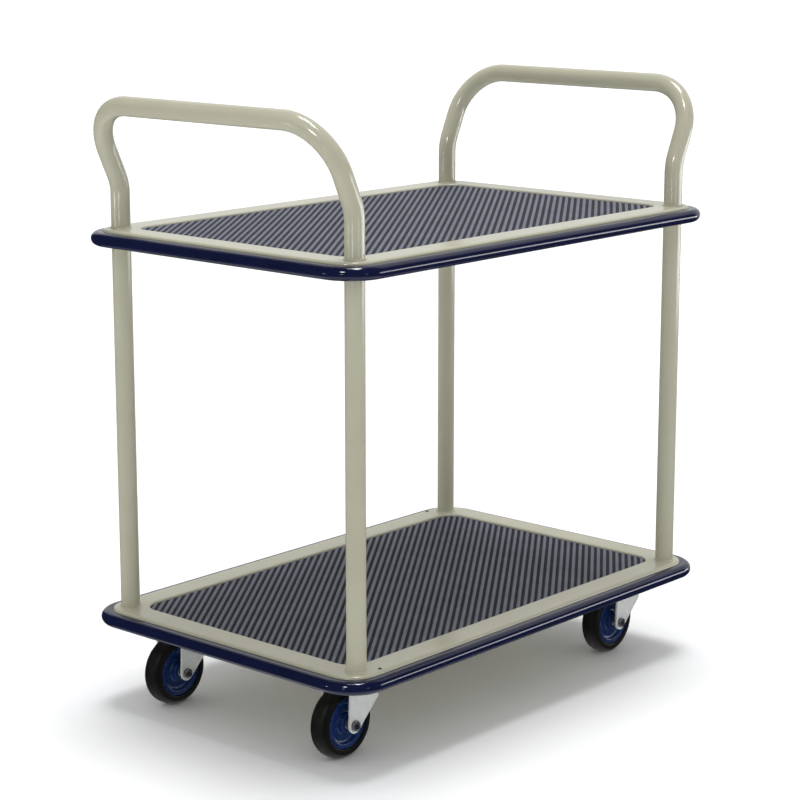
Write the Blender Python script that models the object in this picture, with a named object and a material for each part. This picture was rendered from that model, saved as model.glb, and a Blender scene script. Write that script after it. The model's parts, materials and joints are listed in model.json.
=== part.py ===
"""Two-deck platform trolley: pressed decks on two bent handle tubes, with four swivel casters.

Frame: X runs along the length, Y across the width, Z up. The origin is on the floor under the centre.
Left is -X, right is +X, front is -Y and back is +Y. All sizes are in metres.
"""
import bmesh
import bpy
from math import cos, pi, radians, sin
from mathutils import Vector

for old_object in list(bpy.data.objects):
    bpy.data.objects.remove(old_object, do_unlink=True)

# ---- driving dimensions ----
GAP = 0.0003                   # air between neighbouring pieces
LENGTH = 0.800                 # over the bumpers
WIDTH = 0.526
CORNER_RADIUS = 0.055          # outside of the bumper, seen from above
LOWER_RIM_Z = 0.142            # top of the lower deck's border
UPPER_RIM_Z = 0.690

BUMPER_DEPTH = 0.017           # how far the bumper stands out from the deck
BUMPER_HEIGHT = 0.019
BUMPER_DROP = 0.0131           # bumper's middle below the border's top
BUMPER_LIP = 0.003             # the lip that hooks under the deck's skirt

SHEET = 0.002                  # steel sheet of the decks
SKIRT_HEIGHT = 0.0211
RIM_FILLET = 0.0045
RECESS_FILLET = 0.003
RECESS_DEPTH = 0.006
RECESS_HALF_X = 0.343
RECESS_HALF_Y = 0.205
RECESS_CORNER = 0.028

MAT_THICKNESS = 0.004
MAT_MARGIN = 0.001             # between the mat and the recess wall
MAT_EDGE = 0.001               # chamfer along the mat's top edge

TUBE_RADIUS = 0.0135
TUBE_WALL = 0.0016
POST_X = 0.351
POST_Y = 0.2205
HANDLE_STRAIGHT = 0.048        # vertical tube above the upper deck
LEAN = radians(24.5)           # the handle leans outwards by this
LEAN_RADIUS = 0.064
LEAN_STRAIGHT = 0.037
TOP_RADIUS = 0.074             # bends at the ends of the handle bar

SOCKET_RADIUS = 0.0162
SOCKET_DEPTH = 0.019
SOCKET_FLOOR = 0.0025
SLEEVE_LENGTH = 0.018

CHANNEL_LENGTH = 0.560
CHANNEL_Y = 0.060
CHANNEL_WIDTH = 0.026
CHANNEL_FLANGE = 0.010
CHANNEL_HEIGHT = 0.015
CHANNEL_SHEET = 0.002

WHEEL_RADIUS = 0.050
TYRE_HALF_WIDTH = 0.0142
TYRE_BEAD = 0.003              # the tyre widens by this radius beside the core
TREAD_FLAT = 0.004             # half width of the tread's level middle
TREAD_DROP = 0.008             # height of its rounded shoulders
CORE_RADIUS = 0.0362
CORE_HALF_WIDTH = 0.0125       # at the core's rim
CORE_RIM = 0.006               # thickness of that rim
WEB_HALF_WIDTH = 0.0075
CORE_TAPER = 0.002             # draft of the hub and of the rim, down to the web
KINGPIN_X = 0.302
KINGPIN_Y = 0.1635
TRAIL = 0.019                  # axle behind the kingpin, towards -X

HUB_RADIUS = 0.013
HUB_HALF_WIDTH = 0.0146
SLEEVE_RADIUS = 0.007          # axle sleeve in the hub
SLEEVE_HALF_WIDTH = 0.0153
BOLT_RADIUS = 0.004
HEX_FLATS = 0.013
BOLT_HEAD = 0.0053
NUT_HEIGHT = 0.004
BOLT_END = 0.001               # thread that shows past the nut

FORK_SHEET = 0.003
FORK_INNER = 0.0156            # half the space between the legs
FORK_HALF_LENGTH = 0.027       # crown and the upper part of the legs, along X
FORK_FOOT = 0.011              # radius of the leg's foot, around the axle
FORK_BEND = 0.004
CROWN_TOP = 0.1075
LEG_FRONT_ANGLE = radians(-45.0)

KINGPIN_RADIUS = 0.005
KINGPIN_HEAD_RADIUS = 0.009
KINGPIN_HEAD = 0.003
KINGPIN_HEAD_EDGE = 0.001
RACE_SEAM_Z = 0.1172           # gap between the two halves of the swivel race
RACE_RADIUS = 0.027            # at the seam
RACE_TOP_RADIUS = 0.021
RACE_BOTTOM_RADIUS = 0.022
RACE_SHOULDER = 0.003          # height from the seam to the widest place
RACE_EDGE = 0.001              # the race is narrower by this at the seam

PLATE_LENGTH = 0.090
PLATE_WIDTH = 0.074
PLATE_THICKNESS = 0.0032
PLATE_CORNER = 0.008
PLATE_HOLE_X = 0.036
PLATE_HOLE_Y = 0.028
PLATE_HOLE_RADIUS = 0.0043

# ---- derived sizes ----
DECK_HALF_X = LENGTH / 2 - BUMPER_DEPTH
DECK_HALF_Y = WIDTH / 2 - BUMPER_DEPTH
DECK_CORNER = CORNER_RADIUS - BUMPER_DEPTH
FLOOR_DROP = RECESS_DEPTH + SHEET            # underside of the recess below the border's top
PLATE_TOP = LOWER_RIM_Z - FLOOR_DROP - GAP
PLATE_BOTTOM = PLATE_TOP - PLATE_THICKNESS
FORK_OUTER = FORK_INNER + FORK_SHEET
HOLE_RADIUS = TUBE_RADIUS + GAP
BOLT_HOLE_RADIUS = BOLT_RADIUS + GAP
PIN_HOLE_RADIUS = KINGPIN_RADIUS + GAP
CUT_MARGIN = 0.005                           # cutters run past the surface by this
CORNER_STEPS = 5                             # facets in a rounded corner seen from above
TUBE_STEPS = 16
POST_HOLE_STEPS = 20
SOCKET_STEPS = 16
RACE_STEPS = 16
BORE_STEPS = 12
BOLT_HOLE_STEPS = 8
CORE_STEPS = 20
TYRE_STEPS = 32
SMOOTH_BELOW = radians(35.0)                 # edges bent more than this stay sharp

SIDES = {"left": -1, "right": 1}
ROWS = {"front": -1, "back": 1}

# ---- materials: colour, roughness, metallic ----
LOOKS = {
    "cream_paint": ((0.55, 0.53, 0.43), 0.35, 0.0),
    "navy_bumper": ((0.012, 0.016, 0.085), 0.18, 0.0),
    "ribbed_rubber": ((0.055, 0.060, 0.085), 0.70, 0.0),
    "zinc": ((0.72, 0.73, 0.76), 0.32, 1.0),
    "navy_plastic": ((0.015, 0.030, 0.150), 0.40, 0.0),
    "tyre_rubber": ((0.012, 0.012, 0.012), 0.75, 0.0),
    "sleeve_steel": ((0.45, 0.45, 0.47), 0.35, 1.0),
}


def paint(obj, look):
    """Give an object its own Principled material."""
    color, roughness, metallic = LOOKS[look]
    material = bpy.data.materials.new(f"{obj.name}_{look}")
    material.use_nodes = True
    shader = material.node_tree.nodes["Principled BSDF"]
    shader.inputs["Base Color"].default_value = (*color, 1.0)
    shader.inputs["Roughness"].default_value = roughness
    shader.inputs["Metallic"].default_value = metallic
    obj.data.materials.clear()
    obj.data.materials.append(material)


def new_object(name, mesh, parent=None, location=(0, 0, 0)):
    obj = bpy.data.objects.new(name, mesh)
    bpy.context.scene.collection.objects.link(obj)
    obj.location = location
    obj.parent = parent
    return obj


def new_axis(name, location, parent=None):
    """An empty that marks a joint's axis and carries the pieces that turn about it."""
    axis = bpy.data.objects.new(name, None)
    bpy.context.scene.collection.objects.link(axis)
    axis.location = location
    axis.parent = parent
    return axis


def mesh_from_rings(name, rings, closed_path):
    """Join rings of equal length into a closed mesh: a loop of rings, or a stack capped at both ends."""
    bm = bmesh.new()
    verts = [[bm.verts.new(point) for point in ring] for ring in rings]
    count = len(rings[0])
    pairs = list(zip(verts, verts[1:]))
    if closed_path:
        pairs.append((verts[-1], verts[0]))
    for ring_a, ring_b in pairs:
        for i in range(count):
            j = (i + 1) % count
            bm.faces.new((ring_a[i], ring_a[j], ring_b[j], ring_b[i]))
    if not closed_path:
        bm.faces.new(list(reversed(verts[0])))
        bm.faces.new(verts[-1])
    bmesh.ops.recalc_face_normals(bm, faces=bm.faces)
    if bm.calc_volume(signed=True) < 0:
        bmesh.ops.reverse_faces(bm, faces=bm.faces)
    mesh = bpy.data.meshes.new(name)
    bm.to_mesh(mesh)
    bm.free()
    mesh.shade_smooth()
    mesh.set_sharp_from_angle(angle=SMOOTH_BELOW)
    return mesh


def circle(radius, z, steps):
    return [(radius * cos(2 * pi * i / steps), radius * sin(2 * pi * i / steps), z) for i in range(steps)]


def turned(name, profile, steps, along_y=False, closed=False):
    """Turn a profile of (radius, height) points about Z, or about Y; a closed profile makes a ring."""
    rings = [circle(radius, height, steps) for radius, height in profile]
    if along_y:
        rings = [[(x, z, y) for x, y, z in ring] for ring in rings]
    return mesh_from_rings(name, rings, closed)


def rounded_rectangle(half_x, half_y, radius, steps=CORNER_STEPS):
    """Points around a rectangle with round corners, anticlockwise from above."""
    points = []
    for quarter, (side_x, side_y) in enumerate(((1, 1), (-1, 1), (-1, -1), (1, -1))):
        for i in range(steps + 1):
            angle = (quarter + i / steps) * pi / 2
            points.append((side_x * (half_x - radius) + radius * cos(angle),
                           side_y * (half_y - radius) + radius * sin(angle)))
    return points


def deck_loop(outset, z):
    """A loop that follows the deck's outline, moved outwards by outset."""
    outline = rounded_rectangle(DECK_HALF_X + outset, DECK_HALF_Y + outset, DECK_CORNER + outset)
    return [(x, y, z) for x, y in outline]


def recess_loop(outset, z):
    """A loop that follows the recess, moved outwards by outset."""
    outline = rounded_rectangle(RECESS_HALF_X + outset, RECESS_HALF_Y + outset, RECESS_CORNER + outset)
    return [(x, y, z) for x, y in outline]


def quarter_arc(radius, steps):
    """Points (across, down) of a convex quarter round, from its level end to its upright end."""
    return [(radius * sin(i * pi / 2 / steps), radius * (1 - cos(i * pi / 2 / steps)))
            for i in range(steps + 1)]


def cut(obj, cutters, operation="DIFFERENCE"):
    """Apply booleans at once, so that copies of the piece can share the finished mesh."""
    for cutter in cutters:
        cutter.hide_render = True
        cutter.display_type = "WIRE"
        modifier = obj.modifiers.new(cutter.name, "BOOLEAN")
        modifier.operation = operation
        modifier.solver = "EXACT"
        modifier.object = cutter
    bpy.context.view_layer.update()
    finished = bpy.data.meshes.new_from_object(obj.evaluated_get(bpy.context.evaluated_depsgraph_get()))
    obj.modifiers.clear()
    obj.data = finished
    for cutter in cutters:
        bpy.data.objects.remove(cutter, do_unlink=True)
    finished.shade_smooth()
    finished.set_sharp_from_angle(angle=SMOOTH_BELOW)


def cylinder_cutter(name, radius, low, high, steps, center=(0, 0), along_y=False):
    cutter = new_object(name, turned(name, [(radius, low), (radius, high)], steps, along_y))
    cutter.location = (center[0], 0, center[1]) if along_y else (center[0], center[1], 0)
    return cutter


def post_places():
    for side, sign_x in SIDES.items():
        for row, sign_y in ROWS.items():
            yield f"{side}_{row}", sign_x, sign_y


# ---- decks, mats and bumpers ----
def make_deck(name, rim_z):
    """A pressed pan: recess floor, raised border with round edges, and a skirt all round."""
    floor_z = rim_z - RECESS_DEPTH
    skirt_z = rim_z - SKIRT_HEIGHT
    rings = [
        recess_loop(SHEET, floor_z - SHEET),
        recess_loop(SHEET, rim_z - SHEET),
        deck_loop(-SHEET, rim_z - SHEET),
        deck_loop(-SHEET, skirt_z),
        deck_loop(0, skirt_z),
    ]
    for across, down in reversed(quarter_arc(RIM_FILLET, 3)):
        rings.append(deck_loop(across - RIM_FILLET, rim_z - down))
    for across, down in quarter_arc(RECESS_FILLET, 2):
        rings.append(recess_loop(RECESS_FILLET - across, rim_z - down))
    rings.append(recess_loop(0, floor_z))
    deck = new_object(name, mesh_from_rings(name, rings, closed_path=False))
    holes = [cylinder_cutter(f"hole_{place}", HOLE_RADIUS, rim_z - SHEET - CUT_MARGIN, rim_z + CUT_MARGIN,
                             POST_HOLE_STEPS, (sign_x * POST_X, sign_y * POST_Y))
             for place, sign_x, sign_y in post_places()]
    cut(deck, holes)
    paint(deck, "cream_paint")


def make_mat(name, rim_z):
    low = rim_z - RECESS_DEPTH + GAP
    high = low + MAT_THICKNESS
    rings = [
        recess_loop(-MAT_MARGIN, low),
        recess_loop(-MAT_MARGIN, high - MAT_EDGE),
        recess_loop(-MAT_MARGIN - MAT_EDGE, high),
    ]
    mat = new_object(name, mesh_from_rings(name, rings, closed_path=False))
    paint(mat, "ribbed_rubber")


def make_bumper(name, rim_z):
    """A D-section strip around the deck's skirt, with a lip that hooks under it."""
    middle = rim_z - BUMPER_DROP
    half = BUMPER_HEIGHT / 2
    skirt_z = rim_z - SKIRT_HEIGHT
    lip_top = skirt_z - GAP
    arc_steps = 8
    section = [(GAP, middle + half)]
    for i in range(arc_steps + 1):
        angle = pi / 2 - pi * i / arc_steps
        section.append((BUMPER_DEPTH - half + half * cos(angle), middle + half * sin(angle)))
    section += [(-BUMPER_LIP, middle - half), (-BUMPER_LIP, lip_top), (GAP, lip_top)]
    rings = [deck_loop(outset, z) for outset, z in section]
    bumper = new_object(name, mesh_from_rings(name, rings, closed_path=True))
    paint(bumper, "navy_bumper")


# ---- handle tubes and what holds them ----
def handle_path():
    """Centre line of one handle, leaning towards +X, from the front post's foot to the back's."""
    foot_z = LOWER_RIM_Z - SHEET - SOCKET_DEPTH + SOCKET_FLOOR + GAP
    bend_z = UPPER_RIM_Z + HANDLE_STRAIGHT
    leg = [Vector((0, -POST_Y, foot_z)), Vector((0, -POST_Y, bend_z))]
    lean_steps = 3
    for i in range(1, lean_steps + 1):
        angle = LEAN * i / lean_steps
        leg.append(Vector((LEAN_RADIUS * (1 - cos(angle)), -POST_Y, bend_z + LEAN_RADIUS * sin(angle))))
    upward = Vector((sin(LEAN), 0, cos(LEAN)))
    top_start = leg[-1] + upward * LEAN_STRAIGHT
    top_steps = 7
    for i in range(top_steps + 1):
        angle = (pi / 2) * i / top_steps
        inward = Vector((0, TOP_RADIUS * (1 - cos(angle)), 0))
        leg.append(top_start + upward * TOP_RADIUS * sin(angle) + inward)
    other_leg = [Vector((point.x, -point.y, point.z)) for point in reversed(leg)]
    return leg + other_leg


def tube_rings(path, radius, steps):
    """Rings across a path, each in the plane that halves the bend there."""
    rings = []
    across = Vector((1, 0, 0))
    for i, point in enumerate(path):
        before = (point - path[i - 1]).normalized() if i > 0 else None
        after = (path[i + 1] - point).normalized() if i < len(path) - 1 else None
        tangent = ((before or after) + (after or before)).normalized()
        across = (across - tangent * across.dot(tangent)).normalized()
        side = tangent.cross(across)
        rings.append([point + radius * (across * cos(2 * pi * k / steps) + side * sin(2 * pi * k / steps))
                      for k in range(steps)])
    return rings


def make_handle(name, sign_x):
    """One hollow bent tube, open at both feet."""
    path = [Vector((sign_x * (POST_X + point.x), point.y, point.z)) for point in handle_path()]
    outside = tube_rings(path, TUBE_RADIUS, TUBE_STEPS)
    inside = tube_rings(path, TUBE_RADIUS - TUBE_WALL, TUBE_STEPS)
    handle = new_object(name, mesh_from_rings(name, outside + list(reversed(inside)), closed_path=True))
    paint(handle, "cream_paint")


def make_sockets_and_sleeves():
    """Cups under the lower deck that the posts stand in, and sleeves under the upper deck."""
    high = -GAP
    low = -SOCKET_DEPTH
    inner_floor = low + SOCKET_FLOOR
    cup = [(HOLE_RADIUS, inner_floor), (HOLE_RADIUS, high), (SOCKET_RADIUS, high), (SOCKET_RADIUS, low)]
    ring = [(HOLE_RADIUS, -SLEEVE_LENGTH), (HOLE_RADIUS, high),
            (SOCKET_RADIUS, high), (SOCKET_RADIUS, -SLEEVE_LENGTH)]
    for place, sign_x, sign_y in post_places():
        spot = Vector((sign_x * POST_X, sign_y * POST_Y, LOWER_RIM_Z - SHEET))
        socket = new_object(f"post_socket_{place}", turned("post_socket", cup, SOCKET_STEPS), location=spot)
        paint(socket, "cream_paint")
        spot.z = UPPER_RIM_Z - SHEET
        sleeve = new_object(f"deck_sleeve_{place}", turned("deck_sleeve", ring, SOCKET_STEPS, closed=True),
                            location=spot)
        paint(sleeve, "cream_paint")


def make_channels(name, rim_z):
    """Two hat-section stiffeners along X, under the recess floor."""
    top = rim_z - FLOOR_DROP - GAP
    half = CHANNEL_WIDTH / 2
    outer = half + CHANNEL_FLANGE
    thick = CHANNEL_SHEET
    section = [
        (-outer, top), (-outer, top - thick), (-half, top - thick), (-half, top - CHANNEL_HEIGHT),
        (half, top - CHANNEL_HEIGHT), (half, top - thick), (outer, top - thick), (outer, top),
        (half - thick, top), (half - thick, top - CHANNEL_HEIGHT + thick),
        (-half + thick, top - CHANNEL_HEIGHT + thick), (-half + thick, top),
    ]
    for row, sign_y in ROWS.items():
        rings = [[(x, sign_y * CHANNEL_Y + y, z) for y, z in section]
                 for x in (-CHANNEL_LENGTH / 2, CHANNEL_LENGTH / 2)]
        channel = new_object(f"{name}_{row}", mesh_from_rings(name, rings, closed_path=False))
        paint(channel, "cream_paint")


# ---- casters, modelled with the kingpin on the Z axis and the axle towards -X ----
def plate_mesh():
    """Top plate with four bolt holes and the upper half of the swivel race pressed down from it."""
    outline = rounded_rectangle(PLATE_LENGTH / 2, PLATE_WIDTH / 2, PLATE_CORNER, 3)
    rings = [[(x, y, z) for x, y in outline] for z in (PLATE_BOTTOM, PLATE_TOP)]
    plate = new_object("plate_blank", mesh_from_rings("caster_plate", rings, closed_path=False))
    race_profile = [(RACE_RADIUS - RACE_EDGE, RACE_SEAM_Z), (RACE_RADIUS, RACE_SEAM_Z + RACE_SHOULDER),
                    (RACE_TOP_RADIUS, PLATE_BOTTOM + SHEET / 2)]
    race = new_object("race_top", turned("race_top", race_profile, RACE_STEPS))
    cut(plate, [race], "UNION")
    cutters = [cylinder_cutter(f"bolt_hole_{place}", PLATE_HOLE_RADIUS, PLATE_BOTTOM - CUT_MARGIN,
                               PLATE_TOP + CUT_MARGIN, BOLT_HOLE_STEPS,
                               (sign_x * PLATE_HOLE_X, sign_y * PLATE_HOLE_Y))
               for place, sign_x, sign_y in post_places()]
    cutters.append(cylinder_cutter("pin_hole", PIN_HOLE_RADIUS, RACE_SEAM_Z - CUT_MARGIN,
                                   PLATE_TOP + CUT_MARGIN, BORE_STEPS))
    cut(plate, cutters)
    mesh = plate.data
    bpy.data.objects.remove(plate, do_unlink=True)
    return mesh


def kingpin_mesh():
    """Rivet with its head under the fork's crown, and its shank up through the plate."""
    head_top = CROWN_TOP - FORK_SHEET - GAP
    head_bottom = head_top - KINGPIN_HEAD
    profile = [(KINGPIN_HEAD_RADIUS - KINGPIN_HEAD_EDGE, head_bottom),
               (KINGPIN_HEAD_RADIUS, head_bottom + KINGPIN_HEAD_EDGE),
               (KINGPIN_HEAD_RADIUS, head_top),
               (KINGPIN_RADIUS, head_top),
               (KINGPIN_RADIUS, PLATE_TOP - GAP)]
    return turned("kingpin", profile, BORE_STEPS)


def leg_outline():
    """The leg seen from the side: round foot at the axle, upright back edge, slanted front edge."""
    points = [(-FORK_HALF_LENGTH, CROWN_TOP)]
    arc_steps = 6
    for i in range(arc_steps + 1):
        angle = -pi + (LEG_FRONT_ANGLE + pi) * i / arc_steps
        points.append((-TRAIL + FORK_FOOT * cos(angle), WHEEL_RADIUS + FORK_FOOT * sin(angle)))
    foot_x, foot_z = points[-1]
    rise = FORK_HALF_LENGTH - foot_x
    points += [(FORK_HALF_LENGTH, foot_z + rise), (FORK_HALF_LENGTH, CROWN_TOP)]
    return points


def bridge_section():
    """The fork seen from the front: an upside-down U of sheet with round shoulders."""
    foot_z = WHEEL_RADIUS - 2 * FORK_FOOT
    section = [(-FORK_OUTER, foot_z)]
    for across, down in reversed(quarter_arc(FORK_BEND, 2)):
        section.append((-FORK_OUTER + FORK_BEND - across, CROWN_TOP - down))
    for across, down in quarter_arc(FORK_BEND, 2):
        section.append((FORK_OUTER - FORK_BEND + across, CROWN_TOP - down))
    section += [(FORK_OUTER, foot_z), (FORK_INNER, foot_z), (FORK_INNER, CROWN_TOP - FORK_SHEET),
                (-FORK_INNER, CROWN_TOP - FORK_SHEET), (-FORK_INNER, foot_z)]
    return section


def fork_mesh():
    """Bent sheet fork with the lower half of the swivel race, and holes for kingpin and axle."""
    ends = (-TRAIL - FORK_FOOT - CUT_MARGIN, FORK_HALF_LENGTH + CUT_MARGIN)
    reach = FORK_OUTER + CUT_MARGIN
    bridge_rings = [[(x, y, z) for y, z in bridge_section()] for x in ends]
    fork = new_object("fork_blank", mesh_from_rings("fork", bridge_rings, closed_path=False))
    side_rings = [[(x, y, z) for x, z in leg_outline()] for y in (-reach, reach)]
    side_outline = new_object("leg_shape", mesh_from_rings("leg_shape", side_rings, closed_path=False))
    cut(fork, [side_outline], "INTERSECT")
    seam_z = RACE_SEAM_Z - 2 * GAP
    race_profile = [(RACE_BOTTOM_RADIUS, CROWN_TOP - SHEET / 2), (RACE_RADIUS, seam_z - RACE_SHOULDER),
                    (RACE_RADIUS - RACE_EDGE, seam_z)]
    race = new_object("race_bottom", turned("race_bottom", race_profile, RACE_STEPS))
    cut(fork, [race], "UNION")
    pin_hole = cylinder_cutter("pin_hole", PIN_HOLE_RADIUS, CROWN_TOP - FORK_SHEET - CUT_MARGIN,
                               seam_z + CUT_MARGIN, BORE_STEPS)
    axle_hole = cylinder_cutter("axle_hole", BOLT_HOLE_RADIUS, -reach, reach, BORE_STEPS,
                                (-TRAIL, WHEEL_RADIUS), along_y=True)
    cut(fork, [pin_hole, axle_hole])
    mesh = fork.data
    bpy.data.objects.remove(fork, do_unlink=True)
    return mesh


def hexagon_prism(name, low, high):
    corner_radius = HEX_FLATS / 2 / cos(pi / 6)
    return turned(name, [(corner_radius, low), (corner_radius, high)], 6, along_y=True)


def bolt_mesh():
    """Axle bolt along Y with its head on the back leg, through the nut on the front leg."""
    near = FORK_OUTER + GAP
    shank_profile = [(BOLT_RADIUS, -near - NUT_HEIGHT - BOLT_END), (BOLT_RADIUS, near + BOLT_HEAD / 2)]
    bolt = new_object("bolt_blank", turned("axle_bolt", shank_profile, BORE_STEPS, along_y=True))
    head = new_object("bolt_head", hexagon_prism("bolt_head", near, near + BOLT_HEAD))
    cut(bolt, [head], "UNION")
    mesh = bolt.data
    bpy.data.objects.remove(bolt, do_unlink=True)
    return mesh


def nut_mesh():
    near = FORK_OUTER + GAP
    nut = new_object("nut_blank", hexagon_prism("axle_nut", -near - NUT_HEIGHT, -near))
    cut(nut, [cylinder_cutter("nut_hole", BOLT_HOLE_RADIUS, -near - NUT_HEIGHT - CUT_MARGIN, 0, BORE_STEPS,
                              along_y=True)])
    mesh = nut.data
    bpy.data.objects.remove(nut, do_unlink=True)
    return mesh


def sleeve_mesh():
    half = SLEEVE_HALF_WIDTH
    profile = [(BOLT_HOLE_RADIUS, half), (SLEEVE_RADIUS, half),
               (SLEEVE_RADIUS, -half), (BOLT_HOLE_RADIUS, -half)]
    return turned("axle_sleeve", profile, BORE_STEPS, along_y=True, closed=True)


def core_mesh():
    """Moulded wheel centre: hub, dished web and rim."""
    bore = SLEEVE_RADIUS + GAP
    rim_radius = CORE_RADIUS - CORE_RIM
    face = [(bore, HUB_HALF_WIDTH), (HUB_RADIUS, HUB_HALF_WIDTH), (HUB_RADIUS + CORE_TAPER, WEB_HALF_WIDTH),
            (rim_radius - CORE_TAPER, WEB_HALF_WIDTH), (rim_radius, CORE_HALF_WIDTH),
            (CORE_RADIUS, CORE_HALF_WIDTH)]
    profile = face + [(radius, -y) for radius, y in reversed(face)]
    return turned("wheel_core", profile, CORE_STEPS, along_y=True, closed=True)


def tyre_mesh():
    """Solid rubber tyre with round shoulders beside a narrow level tread."""
    face = [(CORE_RADIUS + GAP, CORE_HALF_WIDTH), (CORE_RADIUS + TYRE_BEAD, TYRE_HALF_WIDTH)]
    shoulder_steps = 3
    for i in range(shoulder_steps, -1, -1):
        angle = (pi / 2) * i / shoulder_steps
        face.append((WHEEL_RADIUS - TREAD_DROP * (1 - cos(angle)),
                     TREAD_FLAT + (TYRE_HALF_WIDTH - TREAD_FLAT) * sin(angle)))
    profile = face + [(radius, -y) for radius, y in reversed(face)]
    return turned("tyre", profile, TYRE_STEPS, along_y=True, closed=True)


def make_casters():
    """Four equal swivel casters. The swivel carries fork, bolt and nut; the wheel turns on its axle."""
    plate = plate_mesh()
    pin = kingpin_mesh()
    swivel_pieces = {"caster_fork": (fork_mesh(), "zinc"), "axle_bolt": (bolt_mesh(), "zinc"),
                     "axle_nut": (nut_mesh(), "zinc")}
    wheel_pieces = {"wheel_core": (core_mesh(), "navy_plastic"), "tyre": (tyre_mesh(), "tyre_rubber"),
                    "axle_sleeve": (sleeve_mesh(), "sleeve_steel")}
    for place, sign_x, sign_y in post_places():
        spot = (sign_x * KINGPIN_X, sign_y * KINGPIN_Y, 0)
        paint(new_object(f"caster_plate_{place}", plate.copy(), location=spot), "zinc")
        paint(new_object(f"kingpin_{place}", pin.copy(), location=spot), "zinc")
        swivel = new_axis(f"swivel_axis_{place}", spot)
        axle = new_axis(f"wheel_axis_{place}", (-TRAIL, 0, WHEEL_RADIUS), swivel)
        for piece, (mesh, look) in swivel_pieces.items():
            on_fork = piece == "caster_fork"
            obj = new_object(f"{piece}_{place}", mesh.copy(), swivel if on_fork else axle)
            paint(obj, look)
        for piece, (mesh, look) in wheel_pieces.items():
            paint(new_object(f"{piece}_{place}", mesh.copy(), axle), look)


for level, rim_height in (("lower", LOWER_RIM_Z), ("upper", UPPER_RIM_Z)):
    make_deck(f"{level}_deck", rim_height)
    make_mat(f"{level}_mat", rim_height)
    make_bumper(f"{level}_bumper", rim_height)
    make_channels(f"{level}_channel", rim_height)
for side_name, side_sign in SIDES.items():
    make_handle(f"{side_name}_handle_tube", side_sign)
make_sockets_and_sleeves()
make_casters()
bpy.context.view_layer.update()
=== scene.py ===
"""Looks of the two-deck platform trolley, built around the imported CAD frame.

Every piece is made in the frame's own coordinates: metres, X along the trolley, Y across it, Z up.
Left is -X, right is +X, front is -Y and back is +Y.
"""
import json
from math import cos, degrees, pi, radians, sin, sqrt, tan

import bmesh
import bpy
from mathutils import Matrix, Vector


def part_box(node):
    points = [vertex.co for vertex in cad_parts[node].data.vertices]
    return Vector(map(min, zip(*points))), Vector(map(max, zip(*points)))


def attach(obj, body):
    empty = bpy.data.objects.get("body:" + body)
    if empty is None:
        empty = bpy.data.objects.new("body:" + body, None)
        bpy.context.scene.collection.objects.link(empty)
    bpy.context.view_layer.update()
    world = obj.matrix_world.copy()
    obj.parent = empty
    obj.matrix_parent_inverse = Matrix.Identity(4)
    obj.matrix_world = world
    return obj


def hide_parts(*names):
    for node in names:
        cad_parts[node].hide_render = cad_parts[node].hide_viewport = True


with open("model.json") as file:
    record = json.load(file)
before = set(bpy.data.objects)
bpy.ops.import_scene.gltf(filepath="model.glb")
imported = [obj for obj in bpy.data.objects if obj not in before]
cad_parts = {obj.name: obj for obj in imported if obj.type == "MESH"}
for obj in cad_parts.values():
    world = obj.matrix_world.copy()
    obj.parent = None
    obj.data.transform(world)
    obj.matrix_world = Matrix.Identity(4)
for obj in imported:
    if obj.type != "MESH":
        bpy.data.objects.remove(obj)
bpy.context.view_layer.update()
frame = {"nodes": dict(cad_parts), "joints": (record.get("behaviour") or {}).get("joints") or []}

# ---- sizes read from the frame ----
SIDES = {"left": -1, "right": 1}
ROWS = {"front": -1, "back": 1}
LEVELS = ("lower", "upper")
PLACES = [f"{side}_{row}" for side in SIDES for row in ROWS]
JOINTS = {joint["name"]: joint for joint in frame["joints"]}
deck_low, deck_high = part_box("lower_deck")
mat_low, mat_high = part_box("lower_mat")
bumper_low, bumper_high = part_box("lower_bumper")
tube_low, tube_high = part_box("right_handle_tube")
fork_low, fork_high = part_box("caster_fork_left_front")
plate_low, plate_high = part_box("caster_plate_left_front")
tyre_low, tyre_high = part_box("tyre_left_front")
KINGPIN = {place: Vector(JOINTS[f"swivel_turn_{place}"]["pos_m"]) for place in PLACES}
AXLE = {place: Vector(JOINTS[f"wheel_spin_{place}"]["pos_m"]) for place in PLACES}
RIM_Z = {level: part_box(f"{level}_deck")[1].z for level in LEVELS}
BOLT_END_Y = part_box("axle_bolt_left_front")[0].y - AXLE["left_front"].y
MAT_TOP = mat_high.z - deck_high.z        # heights counted from the border's top
SKIRT_LOW = deck_low.z - deck_high.z

# ---- named sizes, in metres ----
AIR = 0.0003                   # gap between neighbouring pieces
SHEET = 0.002                  # deck steel
DECK_CORNER = 0.038
DECK_STEPS = 14                # faces around each corner
RIM_FILLET = 0.0045
RECESS_FILLET = 0.003
RECESS_CORNER = 0.028
RECESS_DEPTH = 0.006
MAT_MARGIN = 0.001
FLOOR_FILLET = 0.0015          # at the foot of the recess wall
HEM = 0.0008                   # rounding of the skirt's lower edge
# painted shade: black discs stand in for two drain holes in the lower border, which show dark with shade
HOLE_SHADE_RADIUS = 0.0026
HOLE_SHADE_HEIGHT = 0.0009
HOLE_SHADE_SPOT = (0.3240, 0.2378)  # in two opposite corners of the lower border

TUBE_RADIUS = 0.0135
TUBE_WALL = 0.0016
HANDLE_STRAIGHT = 0.048
LEAN = radians(24.5)
LEAN_RADIUS = 0.064
LEAN_STRAIGHT = 0.037
TOP_RADIUS = 0.074
BEAD_RADIUS = 0.0017           # weld beads around the posts

RIB_PITCH = {"lower": 0.0095, "upper": 0.00905}
RIB_ANGLE = radians(36.3)      # the ribs run this way from +X towards +Y
RIB_HEIGHT = 0.0014
RIB_TOP_SHARE = 0.42           # share of the pitch that is level ridge
RIB_FLANK_SHARE = 0.10

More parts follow.
